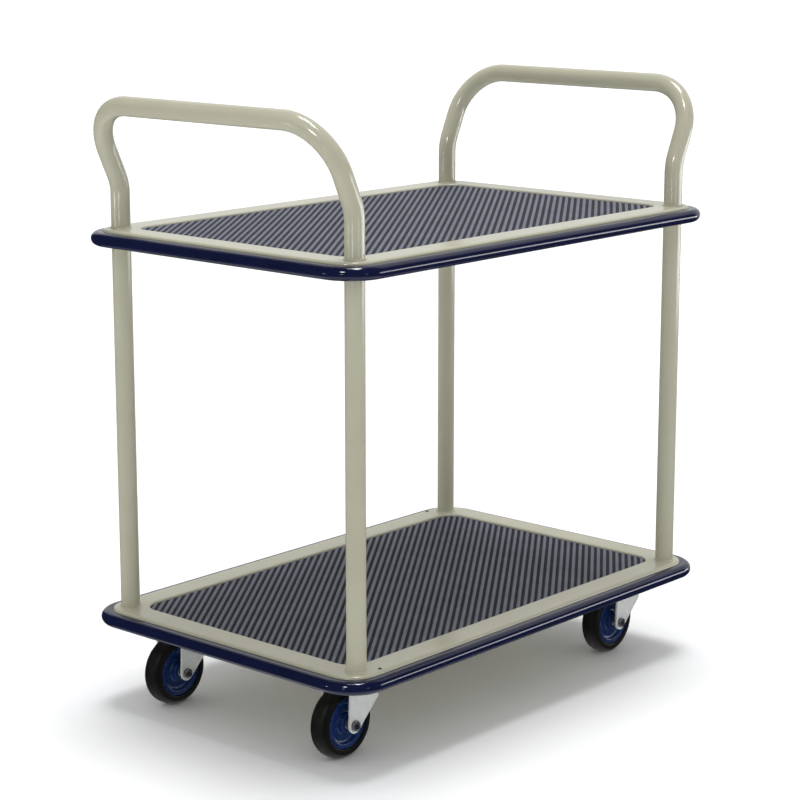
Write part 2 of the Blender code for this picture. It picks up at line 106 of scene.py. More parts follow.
TRAIL = KINGPIN["left_front"].x - AXLE["left_front"].x
WHEEL_RADIUS = AXLE["left_front"].z
TYRE_HALF_WIDTH = (tyre_high.y - tyre_low.y) / 2
CORE_RADIUS = 0.0362
CORE_HALF_WIDTH = 0.0125
HUB_RADIUS = 0.013
HUB_HALF_WIDTH = 0.0146
SLEEVE_RADIUS = 0.007
SLEEVE_HALF_WIDTH = 0.0153
BOLT_RADIUS = 0.004
HEX_FLATS = 0.013
HEX_STEPS = 60                 # points around a hexagon or a thread
THREAD_PITCH = 0.00125
THREAD_DEPTH = 0.0005
FORK_SHEET = 0.003
FORK_OUTER = (fork_high.y - fork_low.y) / 2
FORK_INNER = FORK_OUTER - FORK_SHEET
FORK_HALF_LENGTH = fork_high.x - KINGPIN["left_front"].x
FORK_FOOT = 0.011
FORK_BEND = 0.004
PANEL_DEPTH = 0.0005           # the field pressed into each leg
PANEL_INSET = 0.0028
DIMPLE_DEPTH = 0.0014          # the seat of the bolt's head and the nut
DIMPLE_RADIUS = 0.0082
FORK_ROUNDING = 0.0004         # edges of the fork and the top plate
BOLT_FACE = FORK_OUTER - DIMPLE_DEPTH + AIR
BOLT_HEAD_HEIGHT = 0.0053
AXLE_NUT_HEIGHT = 0.0048
CROWN_TOP = 0.1075
PIN_RADIUS = 0.005
PIN_HOLE_RADIUS = 0.0053
PIN_HEAD_RADIUS = 0.009
PIN_HEAD_HEIGHT = 0.003
RACE_SEAM_Z = plate_low.z
RACE_RADIUS = 0.027
RACE_NECK = 0.0225
RACE_ROUNDING = 0.002
PLATE_TOP = plate_high.z
PLATE_THICKNESS = 0.0032
PLATE_CORNER = 0.008
PLATE_HOLE_X = 0.036
PLATE_HOLE_Y = 0.028
PLATE_HOLE_RADIUS = 0.0043
STUD_LENGTH = 0.0135           # below the deck's floor
STUD_NUT_HEIGHT = 0.0065
WASHER_THICKNESS = 0.0016
WASHER_RADIUS = 0.0082

POST_X = tube_low.x + TUBE_RADIUS
POST_Y = tube_high.y - TUBE_RADIUS

# ---- camera, room and lights ----
CAMERA_LENS = 103.74           # mm, on a 36 mm sensor
CAMERA_YAW = radians(41.39)    # the camera looks this way from +X towards +Y
CAMERA_PITCH = radians(12.275)
CAMERA_DISTANCE = 3.3038
CAMERA_SIDE = -0.00925
CAMERA_HEIGHT = 1.13745

ROOM_LOW = 0.98                # fill at the horizon
ROOM_HIGH = 0.90               # and straight above
ROOM_TILT = 0.10               # the fill is stronger by this on the left
ROOM_SHOWN = 1.25              # the backdrop that the camera sees
MIRROR_AXIS = (cos(CAMERA_YAW) + 0.3 * sin(CAMERA_YAW), sin(CAMERA_YAW) - 0.3 * cos(CAMERA_YAW), 0.5)
MIRROR_EDGE = 0.72             # gloss shows a bright room past this, beyond the trolley and above it
MIRROR_DARK = 0.03
MIRROR_BRIGHT = 0.90
MIRROR_FLOOR = 0.90
SUN_FROM = (0.3, 0.1, 2.4)
SUN_POWER = 1.75
SUN_SPREAD = radians(24)
HANDLE_AIM = (0.0, 0.0, 0.8)
GLOSS_BOXES = (                # name, place, width, height, watts
    ("left_box", (-2.4, -0.9, 2.0), 0.4, 0.5, 20.0),
    ("top_box", (-0.3, -0.7, 2.8), 0.4, 0.4, 14.0),
)
LOW_LIGHT_HEIGHT = 0.36
LOW_LIGHT_DISTANCE = 2.9
LOW_LIGHTS = (                 # name, degrees to the camera's left, width, height, watts
    ("left_spot", 66, 0.22, 0.10, 2.4),
    ("middle_spot", 21, 0.20, 0.10, 2.2),
    ("right_spot", -38, 0.16, 0.10, 1.2),
    ("side_strip", -100, 2.4, 0.55, 24.0),
)


# ---- small mesh tools ----
def new_object(name, mesh, location=(0, 0, 0)):
    piece = bpy.data.objects.new(name, mesh)
    bpy.context.scene.collection.objects.link(piece)
    piece.location = location
    return piece


def mesh_from_rings(name, rings, closed_path=False):
    """Join rings of equal length into a closed mesh: a loop of rings, or a stack capped at both ends."""
    bm = bmesh.new()
    verts = [[bm.verts.new(point) for point in ring] for ring in rings]
    count = len(rings[0])
    pairs = list(zip(verts, verts[1:]))
    if closed_path:
        pairs.append((verts[-1], verts[0]))
    for ring_a, ring_b in pairs:
        for i in range(count):
            j = (i + 1) % count
            bm.faces.new((ring_a[i], ring_a[j], ring_b[j], ring_b[i]))
    if not closed_path:
        bm.faces.new(list(reversed(verts[0])))
        bm.faces.new(verts[-1])
    bmesh.ops.recalc_face_normals(bm, faces=bm.faces)
    if bm.calc_volume(signed=True) < 0:
        bmesh.ops.reverse_faces(bm, faces=bm.faces)
    mesh = bpy.data.meshes.new(name)
    bm.to_mesh(mesh)
    bm.free()
    return mesh


def prism(name, outline, low, high):
    """An upright solid over an outline."""
    return mesh_from_rings(name, [[(x, y, z) for x, y in outline] for z in (low, high)])


def shade(mesh, angle=35.0):
    """Smooth shading, with sharp edges over that angle."""
    mesh.shade_smooth()
    mesh.set_sharp_from_angle(angle=radians(angle))
    return mesh


def evaluated_mesh(piece):
    """The piece's mesh with its modifiers applied."""
    bpy.context.view_layer.update()
    depsgraph = bpy.context.evaluated_depsgraph_get()
    return bpy.data.meshes.new_from_object(piece.evaluated_get(depsgraph))


def take_mesh(blank):
    """The finished mesh of a scratch object, which is removed."""
    mesh = blank.data
    bpy.data.objects.remove(blank)
    return mesh


def cut(piece, cutters, operation="DIFFERENCE"):
    """Apply exact booleans and remove the cutters."""
    for cutter in cutters:
        modifier = piece.modifiers.new(cutter.name, "BOOLEAN")
        modifier.operation = operation
        modifier.solver = "EXACT"
        modifier.object = cutter
    finished = evaluated_mesh(piece)
    piece.modifiers.clear()
    piece.data = finished
    for cutter in cutters:
        bpy.data.objects.remove(cutter, do_unlink=True)


def refine(piece, bevel=0.0, segments=2, angle=35.0):
    """Round the edges over that angle, smooth the rest, and keep flat faces flat in the shading."""
    if bevel:
        rounding = piece.modifiers.new("rounding", "BEVEL")
        rounding.width = bevel
        rounding.segments = segments
        rounding.limit_method = "ANGLE"
        rounding.angle_limit = radians(angle)
        rounding.use_clamp_overlap = True
        piece.data = evaluated_mesh(piece)
        piece.modifiers.clear()
    shade(piece.data, angle)
    flat = piece.modifiers.new("flat_faces", "WEIGHTED_NORMAL")
    flat.keep_sharp = True
    flat.weight = 100
    piece.data = evaluated_mesh(piece)
    piece.modifiers.clear()
    return piece


def circle(radius, height, steps):
    angles = [2 * pi * i / steps for i in range(steps)]
    return [(radius * cos(angle), radius * sin(angle), height) for angle in angles]


def turned(name, profile, steps=48, along_y=False, closed=False):
    """Turn a profile of (radius, height) points about Z, or about Y; a closed profile makes a ring."""
    rings = [circle(radius, height, steps) for radius, height in profile]
    if along_y:
        rings = [[(x, z, y) for x, y, z in ring] for ring in rings]
    return mesh_from_rings(name, rings, closed)


def arc(centre_a, centre_b, radius, start, end, steps, radius_b=None):
    """Points of an arc in a plane, angles in degrees; two radii make it a stretch of an ellipse."""
    radius_b = radius if radius_b is None else radius_b
    angles = [radians(start + (end - start) * i / steps) for i in range(steps + 1)]
    return [(centre_a + radius * cos(a), centre_b + radius_b * sin(a)) for a in angles]


def rounded_rectangle(half_x, half_y, radius, steps):
    """Points around a rectangle with round corners, counterclockwise."""
    points = []
    for quarter, (side_x, side_y) in enumerate(((1, 1), (-1, 1), (-1, -1), (1, -1))):
        points += arc(side_x * (half_x - radius), side_y * (half_y - radius), radius,
                      90 * quarter, 90 * quarter + 90, steps)
    return points


def cylinder(name, radius, low, high, steps=48, center=(0, 0), along_y=False):
    location = (center[0], 0, center[1]) if along_y else (center[0], center[1], 0)
    return new_object(name, turned(name, [(radius, low), (radius, high)], steps, along_y), location)


def tube_rings(path, radius, steps):
    """Rings across a path, each in the plane that halves the bend there."""
    rings = []
    across = Vector((1, 0, 0))
    for i, point in enumerate(path):
        before = (point - path[i - 1]).normalized() if i > 0 else None
        after = (path[i + 1] - point).normalized() if i < len(path) - 1 else None
        tangent = ((before or after) + (after or before)).normalized()
        across = (across - tangent * across.dot(tangent)).normalized()
        side = tangent.cross(across)
        rings.append([point + radius * (across * cos(2 * pi * k / steps) + side * sin(2 * pi * k / steps))
                      for k in range(steps)])
    return rings


def post_places():
    """Each corner's name with its two signs."""
    for side, sign_x in SIDES.items():
        for row, sign_y in ROWS.items():
            yield f"{side}_{row}", sign_x, sign_y


# ---- material tools ----
class Finish:
    """A node material with short calls for the textures that the finishes share."""

    def __init__(self, name):
        self.material = bpy.data.materials.new(name)
        self.material.use_nodes = True
        self.tree = self.material.node_tree
        self.shader = self.tree.nodes["Principled BSDF"]
        self.coords = self.node("ShaderNodeTexCoord").outputs["Object"]

    def feed(self, socket, value):
        if isinstance(value, bpy.types.NodeSocket):
            self.tree.links.new(value, socket)
        else:
            socket.default_value = value

    def node(self, kind, inputs=None, **settings):
        made = self.tree.nodes.new(kind)
        for key, value in settings.items():
            setattr(made, key, value)
        for key, value in (inputs or {}).items():
            self.feed(made.inputs[key], value)
        return made

    def set(self, **values):
        for key, value in values.items():
            self.feed(self.shader.inputs[key.replace("_", " ")], value)

    def noise(self, scale, detail=2.0, roughness=0.5, stretch=None):
        coords = self.coords
        if stretch:
            coords = self.node("ShaderNodeMapping", {"Vector": coords, "Scale": stretch}).outputs[0]
        return self.node("ShaderNodeTexNoise", {"Vector": coords, "Scale": scale, "Detail": detail,
                                                "Roughness": roughness}).outputs["Fac"]

    def span(self, value, low, high, start=0.0, end=1.0):
        """Move a value from the range start..end to low..high, clamped."""
        return self.node("ShaderNodeMapRange", {"Value": value, "From Min": start, "From Max": end,
                                                "To Min": low, "To Max": high}).outputs["Result"]

    def math(self, operation, a, b=0.0):
        return self.node("ShaderNodeMath", {0: a, 1: b}, operation=operation).outputs[0]

    def mix(self, factor, color_a, color_b):
        inputs = {"Fac": factor, "Color1": color_a, "Color2": color_b}
        return self.node("ShaderNodeMixRGB", inputs).outputs[0]

    def fade(self, value, start, end, color_a, color_b):
        """From one color to the other while a value goes from start to end."""
        return self.mix(self.span(value, 0.0, 1.0, start, end), color_a, color_b)

    def axis(self, name):
        return self.node("ShaderNodeSeparateXYZ", {0: self.coords}).outputs[name]

    def bump(self, height, distance, strength, normal=None):
        inputs = {"Height": height, "Distance": distance, "Strength": strength}
        if normal:
            inputs["Normal"] = normal
        return self.node("ShaderNodeBump", inputs).outputs[0]


def rgb(red, green, blue):
    return (red, green, blue, 1.0)


def cream_paint():
    """Cream powder coat: orange peel and faint mottling."""
    look = Finish("cream_powder_coat")
    mottle = look.noise(9.0, 3.0, 0.6)
    color = look.fade(mottle, 0.35, 0.65, rgb(0.450, 0.438, 0.332), rgb(0.480, 0.470, 0.362))
    grain = look.span(look.noise(900.0, 2.0, 0.6), 0.0, 1.0, 0.45, 0.75)
    color = look.mix(look.math("MULTIPLY", grain, 0.05), color, rgb(0.38, 0.36, 0.27))
    peel = look.noise(520.0, 2.0, 0.55)
    look.set(Base_Color=color, Roughness=look.span(look.noise(60.0, 3.0), 0.13, 0.19, 0.3, 0.7),
             Normal=look.bump(peel, 0.00006, 0.20))
    return look.material


def navy_bumper():
    """Glossy navy vinyl with fine drawing lines along the strip."""
    look = Finish("navy_vinyl")
    cloud = look.noise(14.0, 3.0, 0.6)
    color = look.fade(cloud, 0.3, 0.7, rgb(0.0045, 0.0068, 0.030), rgb(0.0058, 0.0092, 0.042))
    scuff = look.span(look.noise(120.0, 4.0, 0.7), 0.0, 1.0, 0.62, 0.72)
    color = look.mix(look.math("MULTIPLY", scuff, 0.12), color, rgb(0.05, 0.055, 0.10))
    drawn = look.noise(1.0, 3.0, 0.6, stretch=(3.0, 3.0, 900.0))
    fine = look.bump(look.noise(450.0, 2.0), 0.00006, 0.25)
    look.set(Base_Color=color, Roughness=look.span(look.noise(45.0, 4.0, 0.65), 0.07, 0.13, 0.3, 0.7),
             Normal=look.bump(drawn, 0.00008, 0.20, fine))
    return look.material


def ribbed_rubber():
    """Dark blue-grey rubber: lighter and smoother on the ridges, with painted shade darkening the grooves.
    """
    look = Finish("ribbed_rubber")
    height = look.span(look.axis("Z"), 0.0, 1.0, MAT_TOP - 0.9 * RIB_HEIGHT, MAT_TOP - 0.1 * RIB_HEIGHT)
    grain = look.noise(1500.0, 2.0, 0.6)
    patch = look.noise(22.0, 4.0, 0.65)
    ridge = look.fade(patch, 0.3, 0.7, rgb(0.106, 0.116, 0.168), rgb(0.152, 0.164, 0.226))
    ridge = look.mix(look.span(grain, 0.0, 0.35, 0.45, 0.7), ridge, rgb(0.06, 0.062, 0.085))
    # painted shade: the groove colour is far darker than the ridges, standing in for the shade that falls
    # between the ribs
    groove = look.fade(patch, 0.35, 0.65, rgb(0.007, 0.008, 0.014), rgb(0.014, 0.016, 0.025))
    # mixed by height: the ridge colour on top, the painted shade low in the grooves
    look.set(Base_Color=look.mix(height, groove, ridge),
             Roughness=look.span(height, 0.85, 0.55),
             Normal=look.bump(grain, 0.00015, 0.5))
    return look.material


def zinc():
    """Bright zinc plate: faint spangle, rolling lines and a slightly duller bloom."""
    look = Finish("zinc_plate")
    spangle = look.node("ShaderNodeTexVoronoi", {"Vector": look.coords, "Scale": 260.0}).outputs["Color"]
    shade_value = look.node("ShaderNodeRGBToBW", {0: spangle}).outputs[0]
    bloom = look.noise(70.0, 4.0, 0.65)
    color = look.fade(bloom, 0.35, 0.65, rgb(0.84, 0.86, 0.85), rgb(0.93, 0.94, 0.93))
    color = look.mix(look.math("MULTIPLY", shade_value, 0.25), color, rgb(0.60, 0.62, 0.64))
    rolled = look.noise(1.0, 3.0, 0.7, stretch=(40.0, 40.0, 1600.0))
    look.set(Base_Color=color, Metallic=0.2,
             Roughness=look.span(bloom, 0.28, 0.42, 0.3, 0.7),
             Normal=look.bump(rolled, 0.00004, 0.35))
    return look.material


def navy_plastic():
    """Moulded royal-navy polypropylene: soft gloss and faint flow marks around the hub."""
    look = Finish("navy_polypropylene")
    flow = look.noise(55.0, 4.0, 0.6)
    color = look.fade(flow, 0.3, 0.7, rgb(0.005, 0.022, 0.105), rgb(0.009, 0.036, 0.155))
    look.set(Base_Color=color, Roughness=look.span(flow, 0.22, 0.34, 0.3, 0.7),
             Normal=look.bump(look.noise(700.0, 2.0), 0.00006, 0.35))
    return look.material


def tyre_rubber():
    """Black rubber, duller and a little dusty where it rolls."""
    look = Finish("tyre_rubber")
    x, z = look.axis("X"), look.axis("Z")
    radius = look.math("SQRT", look.math("ADD", look.math("MULTIPLY", x, x), look.math("MULTIPLY", z, z)))
    tread = look.span(radius, 0.0, 1.0, WHEEL_RADIUS - 0.0035, WHEEL_RADIUS - 0.0005)
    smear = look.span(look.noise(130.0, 5.0, 0.7), 0.0, 1.0, 0.42, 0.66)
    dust = look.math("MULTIPLY", tread, look.span(smear, 0.15, 0.75))
    color = look.mix(dust, rgb(0.0045, 0.0045, 0.0038), rgb(0.015, 0.0145, 0.012))
    look.set(Base_Color=color, Roughness=look.span(dust, 0.42, 0.78), Specular_IOR_Level=0.22,
             Normal=look.bump(look.noise(900.0, 3.0, 0.6), 0.00012, 0.4))
    return look.material


def sleeve_steel():
    """Bare turned steel with fine tool marks."""
    look = Finish("turned_steel")
    marks = look.noise(1.0, 2.0, 0.6, stretch=(60.0, 2400.0, 60.0))
    tint = look.noise(90.0, 3.0)
    look.set(Base_Color=look.mix(tint, rgb(0.38, 0.38, 0.39), rgb(0.52, 0.51, 0.50)), Metallic=1.0,
             Roughness=look.span(tint, 0.28, 0.45), Normal=look.bump(marks, 0.00004, 0.5))
    return look.material


def fastener_steel():
    """Dull plated steel of the bolts and nuts, painted darker than the pressed parts as painted shade for
    the bolt head and nut sunk in the fork's dimples.
    """
    look = Finish("fastener_steel")
    cloud = look.noise(240.0, 3.0, 0.6)
    # painted shade: greys darker than the zinc, for the dimples' shade around the bolt head and nut
    color = look.fade(cloud, 0.3, 0.7, rgb(0.20, 0.20, 0.21), rgb(0.36, 0.36, 0.37))
    look.set(Base_Color=color, Metallic=0.8, Roughness=look.span(cloud, 0.20, 0.38, 0.3, 0.7),
             Normal=look.bump(look.noise(900.0, 2.0), 0.00005, 0.4))
    return look.material


def hole_shade_black():
    """Plain black: the painted shade of a drain hole, laid on the disc that stands in for it."""
    look = Finish("hole_shade_black")
    grain = look.noise(700.0, 2.0)
    look.set(Base_Color=look.mix(grain, rgb(0.010, 0.009, 0.008), rgb(0.022, 0.020, 0.018)), Roughness=0.6,
             Normal=look.bump(grain, 0.00005, 0.4))
    return look.material


FINISHES = {
    "cream_paint": cream_paint(),
    "navy_bumper": navy_bumper(),
    "ribbed_rubber": ribbed_rubber(),
    "zinc": zinc(),
    "navy_plastic": navy_plastic(),
    "tyre_rubber": tyre_rubber(),
    "sleeve_steel": sleeve_steel(),
}
FASTENER_STEEL = fastener_steel()
HOLE_SHADE_BLACK = hole_shade_black()


def fit(piece, body, slot, *nodes, material=None):
    """Finish a piece: its material, the body that it rides on and the CAD nodes it stands for."""
    piece.data.materials.clear()
    piece.data.materials.append(material or FINISHES[slot])
    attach(piece, body)
    if nodes:
        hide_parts(*nodes)


# ---- decks ----
def deck_section():
    """(loop, outset, height under the border's top) from the recess floor's underside to its upper face."""
    curves = (
        ("recess", (SHEET + RECESS_FILLET, -SHEET - RECESS_FILLET, RECESS_FILLET, 180, 90, 4)),
        ("deck", (-RIM_FILLET, -RIM_FILLET, RIM_FILLET - SHEET, 90, 0, 6)),
        ("deck", (-SHEET / 2, SKIRT_LOW + HEM, SHEET / 2, 180, 360, 8, HEM)),
        ("deck", (-RIM_FILLET, -RIM_FILLET, RIM_FILLET, 0, 90, 10)),
        ("recess", (RECESS_FILLET, -RECESS_FILLET, RECESS_FILLET, 90, 180, 8)),
        ("recess", (-FLOOR_FILLET, FLOOR_FILLET - RECESS_DEPTH, FLOOR_FILLET, 0, -90, 4)),
    )
    section = [("recess", SHEET, -RECESS_DEPTH - SHEET)]
    for loop, curve in curves:
        section += [(loop, out, z) for out, z in arc(*curve)]
    return section


def deck_loop(outset, z, steps=DECK_STEPS):
    """The deck's outline, moved outwards."""
    outline = rounded_rectangle(deck_high.x + outset, deck_high.y + outset, DECK_CORNER + outset, steps)
    return [(x, y, z) for x, y in outline]


def recess_loop(outset, z):
    """The recess's outline, moved outwards."""
    outline = rounded_rectangle(mat_high.x + MAT_MARGIN + outset, mat_high.y + MAT_MARGIN + outset,
                                RECESS_CORNER + outset, DECK_STEPS)
    return [(x, y, z) for x, y in outline]


def deck_mesh():
    """The pressing, with a hole for each post."""
    loops = {"deck": deck_loop, "recess": recess_loop}
    rings = [loops[kind](outset, z) for kind, outset, z in deck_section()]
    deck = new_object("deck_blank", mesh_from_rings("deck", rings))
    reach = 2 * RECESS_DEPTH
    cutters = []
    for place, sign_x, sign_y in post_places():
        center = (sign_x * POST_X, sign_y * POST_Y)
        cutters.append(cylinder(f"hole_{place}", TUBE_RADIUS + AIR, -reach, reach, 48, center))
    cut(deck, cutters)
    refine(deck, angle=32)
    return take_mesh(deck)


def hole_shade_disc_mesh():
    """A low button with a round edge, standing in for a drain hole; its black is painted shade."""
    foot, near_axis = AIR / 2, 0.0002
    profile = [(near_axis, foot), (HOLE_SHADE_RADIUS, foot)]
    profile += arc(HOLE_SHADE_RADIUS - HOLE_SHADE_HEIGHT, foot, HOLE_SHADE_HEIGHT, 0, 90, 6)
    profile += [(near_axis, HOLE_SHADE_HEIGHT + foot)]
    return shade(turned("shade_disc", profile, 32), 50)


def make_decks():
    mesh = deck_mesh()
    for level in LEVELS:
        deck = new_object(f"pressed_deck_{level}", mesh.copy(), (0, 0, RIM_Z[level]))
        fit(deck, "trolley", "cream_paint", f"{level}_deck")
    # black discs in two corners: painted shade of the drain holes
    for row, sign in ROWS.items():
        spot = (sign * HOLE_SHADE_SPOT[0], sign * HOLE_SHADE_SPOT[1], RIM_Z["lower"])
        shade_disc = new_object(f"painted_hole_shade_{row}", hole_shade_disc_mesh(), spot)
        fit(shade_disc, "trolley", "tyre_rubber", material=HOLE_SHADE_BLACK)


# ---- mats ----
def rib_profile(length, pitch):
    """The mat's upper line across the ribs, as (across, height over the groove)."""
    top = pitch * RIB_TOP_SHARE / 2
    flank = pitch * RIB_FLANK_SHARE
    count = int(length / pitch) + 1
    shape = [(-top - flank, 0.0), (-top - 0.55 * flank, 0.55 * RIB_HEIGHT), (-top, 0.93 * RIB_HEIGHT),
             (-top + 0.6 * flank, RIB_HEIGHT)]
    shape += [(-across, height) for across, height in reversed(shape)]
    return [(rib * pitch + across, height) for rib in range(-count, count + 1) for across, height in shape]


def mat_mesh(pitch):
    """A slab with diagonal ribs, cut to the mat's outline."""
    reach = sqrt(mat_high.x ** 2 + mat_high.y ** 2) + pitch
    low = mat_low.z - deck_high.z
    groove = MAT_TOP - RIB_HEIGHT
    line = [(across, groove + height) for across, height in rib_profile(reach, pitch)]
    margin = 0.001
    line = [(line[0][0], low - margin)] + line + [(line[-1][0], low - margin)]
    along = Vector((cos(RIB_ANGLE), sin(RIB_ANGLE), 0))
    side = Vector((-sin(RIB_ANGLE), cos(RIB_ANGLE), 0))
    rings = [[end * reach * along + across * side + Vector((0, 0, z)) for across, z in line]
             for end in (-1, 1)]
    mat = new_object("mat_blank", mesh_from_rings("mat", rings))
    outline = rounded_rectangle(mat_high.x, mat_high.y, RECESS_CORNER - MAT_MARGIN, 10)
    cut(mat, [new_object("mat_outline", prism("mat_outline", outline, low, MAT_TOP + margin))], "INTERSECT")
    shade(mat.data, 40)
    return take_mesh(mat)


def make_mats():
    for level in LEVELS:
        mat = new_object(f"ribbed_mat_{level}", mat_mesh(RIB_PITCH[level]), (0, 0, RIM_Z[level]))
        fit(mat, "trolley", "ribbed_rubber", f"{level}_mat")


# ---- bumpers ----
def bumper_section():
    """D-section: (outset from the deck, height under the border's top), with a lip under the skirt."""
    depth = bumper_high.x - deck_high.x
    top, bottom = bumper_high.z - deck_high.z, bumper_low.z - deck_high.z
    nose = (top - bottom) / 2
    lip = 0.003
    edge = 0.0004
    section = [(AIR, top - edge), (AIR + edge, top)]
    section += arc(depth - nose, bottom + nose, nose, 90, -90, 28)
    section += [(-lip + edge, bottom), (-lip, bottom + edge)]
    section += [(-lip, SKIRT_LOW - AIR), (AIR, SKIRT_LOW - AIR)]
    return section


def make_bumpers():
    rings = [deck_loop(outset, z, 18) for outset, z in bumper_section()]
    mesh = shade(mesh_from_rings("bumper", rings, closed_path=True), 50)
    for level in LEVELS:
        bumper = new_object(f"bumper_strip_{level}", mesh.copy(), (0, 0, RIM_Z[level]))
        refine(bumper, angle=50)
        fit(bumper, "trolley", "navy_bumper", f"{level}_bumper")


# ---- handles, sockets, sleeves and welds ----
def handle_path():
    """Centre line of one handle, leaning towards +X, from the front post's foot to the back's."""
    bend_z = RIM_Z["upper"] + HANDLE_STRAIGHT
    leg = [Vector((0, -POST_Y, tube_low.z)), Vector((0, -POST_Y, bend_z))]
    for x, z in arc(LEAN_RADIUS, bend_z, LEAN_RADIUS, 180, 180 - degrees(LEAN), 10)[1:]:
        leg.append(Vector((x, -POST_Y, z)))
    upward = Vector((sin(LEAN), 0, cos(LEAN)))
    top_start = leg[-1] + upward * LEAN_STRAIGHT
    for inward, rise in arc(TOP_RADIUS, 0, TOP_RADIUS, 180, 90, 20):
        leg.append(top_start + upward * rise + Vector((0, inward, 0)))
    return leg + [Vector((point.x, -point.y, point.z)) for point in reversed(leg)]


def make_handles():
    steps = 40
    for side, sign_x in SIDES.items():
        path = [Vector((sign_x * (POST_X + point.x), point.y, point.z)) for point in handle_path()]
        rings = tube_rings(path, TUBE_RADIUS, steps)
        rings += list(reversed(tube_rings(path, TUBE_RADIUS - TUBE_WALL, steps)))
        mesh = shade(mesh_from_rings("handle", rings, closed_path=True), 50)
        handle = new_object(f"bent_handle_{side}", mesh)
        fit(handle, "trolley", "cream_paint", f"{side}_handle_tube")


def bead_mesh():
    """A weld bead around a post: a ring whose thickness ripples as it was laid."""
    turns, section = 96, 10
    rings = []
    for i in range(turns):
        angle = 2 * pi * i / turns
        ripple = 1 + 0.10 * sin(23 * angle) + 0.06 * sin(7 * angle + 1.3)
        radius = BEAD_RADIUS * ripple
        ring = []
        for k in range(section):
            around = 2 * pi * k / section
            reach = TUBE_RADIUS + radius * cos(around)
            ring.append((reach * cos(angle), reach * sin(angle), radius * sin(around)))
        rings.append(ring)
    return shade(mesh_from_rings("bead", rings, closed_path=True), 80)


def make_post_fittings():
    """Sockets under the lower deck, sleeves under the upper one, and the weld beads at both."""
    socket_low, socket_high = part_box("post_socket_left_front")
    radius = (socket_high.x - socket_low.x) / 2
    sleeve_low, sleeve_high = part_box("deck_sleeve_left_front")
    bore = TUBE_RADIUS + AIR
    floor_z = tube_low.z - AIR
    edge = 0.0008
    cup = [(bore, floor_z), (bore, socket_high.z), (radius, socket_high.z)]
    cup += arc(radius - edge, socket_low.z + edge, edge, 0, -90, 4)
    ring = [(bore, sleeve_low.z), (bore, sleeve_high.z), (radius, sleeve_high.z)]
    ring += arc(radius - edge, sleeve_low.z + edge, edge, 0, -90, 4)
    bead_heights = {**RIM_Z, "sleeve": sleeve_low.z}
    for place, sign_x, sign_y in post_places():
        spot = Vector((sign_x * POST_X, sign_y * POST_Y, 0))
        socket = new_object(f"socket_cup_{place}", shade(turned("socket", cup)), spot)
        fit(socket, "trolley", "cream_paint", f"post_socket_{place}")
        sleeve = new_object(f"support_sleeve_{place}", shade(turned("sleeve", ring, closed=True)), spot)
        fit(sleeve, "trolley", "cream_paint", f"deck_sleeve_{place}")
        for name, height in bead_heights.items():
            bead = new_object(f"weld_bead_{name}_{place}", bead_mesh(), spot + Vector((0, 0, height)))
            fit(bead, "trolley", "cream_paint")


def make_channels():
    """Stiffening channels under the floors, with the sheet's bends rounded."""
    for level in LEVELS:
        for row in ROWS:
            node = f"{level}_channel_{row}"
            mesh = frame["nodes"][node].data.copy()
            bm = bmesh.new()
            bm.from_mesh(mesh)
            bmesh.ops.remove_doubles(bm, verts=bm.verts, dist=0.00001)
            bmesh.ops.dissolve_limit(bm, angle_limit=radians(1), verts=bm.verts, edges=bm.edges)
            bm.to_mesh(mesh)
            bm.free()
            channel = refine(new_object(f"stiffener_{level}_{row}", mesh), bevel=0.0007, segments=3)
            fit(channel, "trolley", "cream_paint", node)


# ---- casters, modelled around the kingpin's axis ----
def leg_outline(inset, top):
    """The fork's leg from the side: round foot at the axle, upright back edge, slanted front edge."""
    foot = FORK_FOOT - inset
    points = [(-FORK_HALF_LENGTH + inset, top)]
    points += arc(-TRAIL, WHEEL_RADIUS, foot, -180, -45, 18)
    foot_x, foot_z = points[-1]
    front = FORK_HALF_LENGTH - inset
    points += [(front, foot_z + front - foot_x), (front, top)]
    return points


def leg_prism(name, inset, top, near, far):
    """The leg's outline as a solid across the fork."""
    rings = [[(x, y, z) for x, z in leg_outline(inset, top)] for y in (near, far)]
    return new_object(name, mesh_from_rings(name, rings))


